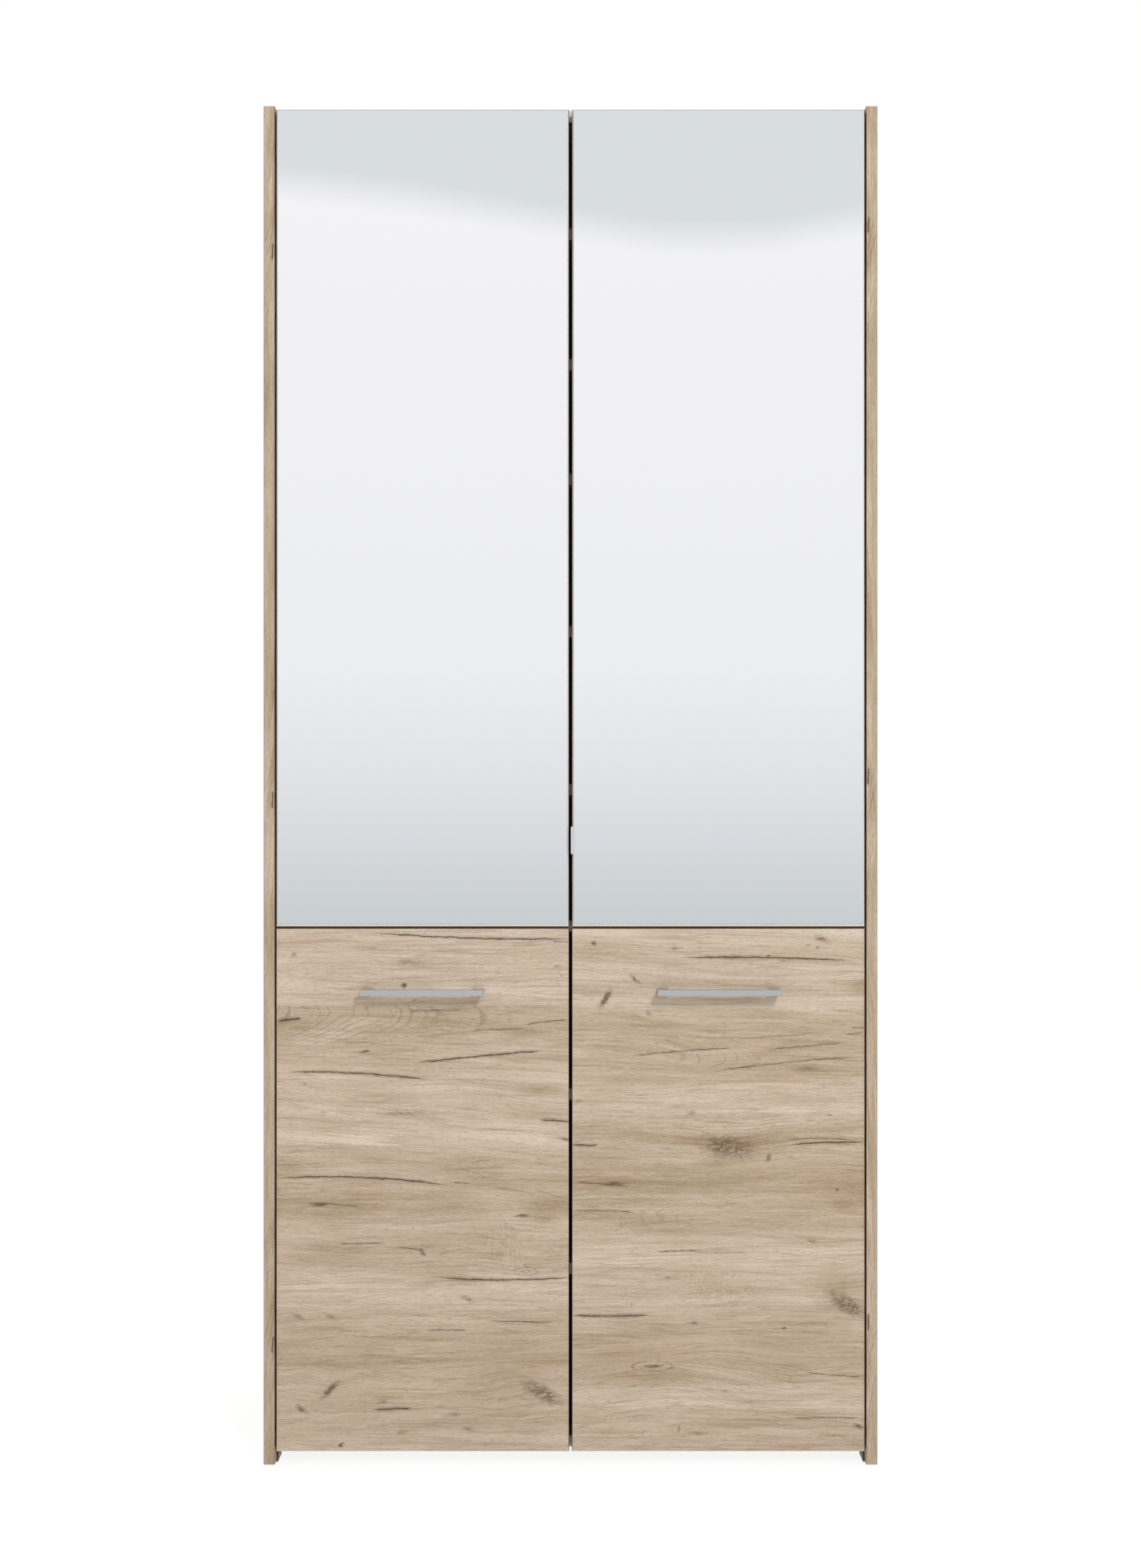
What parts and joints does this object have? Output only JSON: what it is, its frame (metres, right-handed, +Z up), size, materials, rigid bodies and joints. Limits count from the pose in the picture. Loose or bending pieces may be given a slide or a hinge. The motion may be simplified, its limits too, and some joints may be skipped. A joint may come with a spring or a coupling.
{
  "type": "armoire",
  "caption": "Tall armoire with wood-decor boards, mirror doors above, plain doors with bar handles below, and shelves behind them.",
  "frame": {"origin": "on the floor, under the middle of the whole outline with the handles counted", "axes": "+X to the right as seen from the front, +Y to the back, +Z up; the doors face -Y"},
  "size_m": [0.88, 0.43, 1.95],
  "materials": {
    "oak_decor_carcass": "grey craft oak decor, matt, vertical grain",
    "oak_decor_door": "grey craft oak decor, matt, horizontal grain",
    "mirror_glass": "silvered float glass",
    "satin_aluminium": "satin",
    "nickel": "nickel plated",
    "zinc": "zinc plated",
    "beech": "raw beech",
    "back_sheet": "thin fibreboard, lacquered",
    "dark_plastic": "moulded",
    "clear_buffer": "translucent soft buffer"
  },
  "bodies": {
    "carcass": {"left_side_panel": "oak_decor_carcass", "right_side_panel": "oak_decor_carcass", "top_panel": "oak_decor_carcass", "bottom_panel": "oak_decor_carcass", "mid_shelf": "oak_decor_carcass", "upper_shelf_1": "oak_decor_carcass", "upper_shelf_2": "oak_decor_carcass", "upper_shelf_3": "oak_decor_carcass", "upper_shelf_4": "oak_decor_carcass", "upper_shelf_5": "oak_decor_carcass", "lower_shelf_1": "oak_decor_carcass", "lower_shelf_2": "oak_decor_carcass", "upper_back_panel": "back_sheet", "lower_back_panel": "back_sheet", "cam_locks": "zinc", "cam_bolts": "zinc", "dowels": "beech", "shelf_pins": "zinc", "foot_glides": "dark_plastic", "upper_left_hinge_arms": "nickel", "upper_left_hinge_plates": "nickel", "upper_right_hinge_arms": "nickel", "upper_right_hinge_plates": "nickel", "lower_left_hinge_arms": "nickel", "lower_left_hinge_plates": "nickel", "lower_right_hinge_arms": "nickel", "lower_right_hinge_plates": "nickel"},
    "upper_left_door_set": {"upper_left_door": "oak_decor_door", "upper_left_hinge_cups": "nickel", "upper_left_hinge_pins": "nickel", "upper_left_bumpers": "clear_buffer", "upper_left_mirror": "mirror_glass"},
    "upper_right_door_set": {"upper_right_door": "oak_decor_door", "upper_right_hinge_cups": "nickel", "upper_right_hinge_pins": "nickel", "upper_right_bumpers": "clear_buffer", "upper_right_mirror": "mirror_glass", "upper_right_finger_pull": "satin_aluminium"},
    "lower_left_door_set": {"lower_left_door": "oak_decor_door", "lower_left_hinge_cups": "nickel", "lower_left_hinge_pins": "nickel", "lower_left_bumpers": "clear_buffer", "lower_left_handle": "satin_aluminium"},
    "lower_right_door_set": {"lower_right_door": "oak_decor_door", "lower_right_hinge_cups": "nickel", "lower_right_hinge_pins": "nickel", "lower_right_bumpers": "clear_buffer", "lower_right_handle": "satin_aluminium"}
  },
  "joints": [
    {"name": "upper_left_door_swing", "type": "hinge", "parent": "carcass", "child": "upper_left_door_set", "pos_m": [-0.40849, -0.1788, 1.3595], "axis": [0, 0, -1], "range_deg": [0, 105]},
    {"name": "upper_right_door_swing", "type": "hinge", "parent": "carcass", "child": "upper_right_door_set", "pos_m": [0.40849, -0.1788, 1.3595], "axis": [0, 0, 1], "range_deg": [0, 105]},
    {"name": "lower_left_door_swing", "type": "hinge", "parent": "carcass", "child": "lower_left_door_set", "pos_m": [-0.40849, -0.1788, 0.396], "axis": [0, 0, -1], "range_deg": [0, 105]},
    {"name": "lower_right_door_swing", "type": "hinge", "parent": "carcass", "child": "lower_right_door_set", "pos_m": [0.40849, -0.1788, 0.396], "axis": [0, 0, 1], "range_deg": [0, 105]}
  ]
}
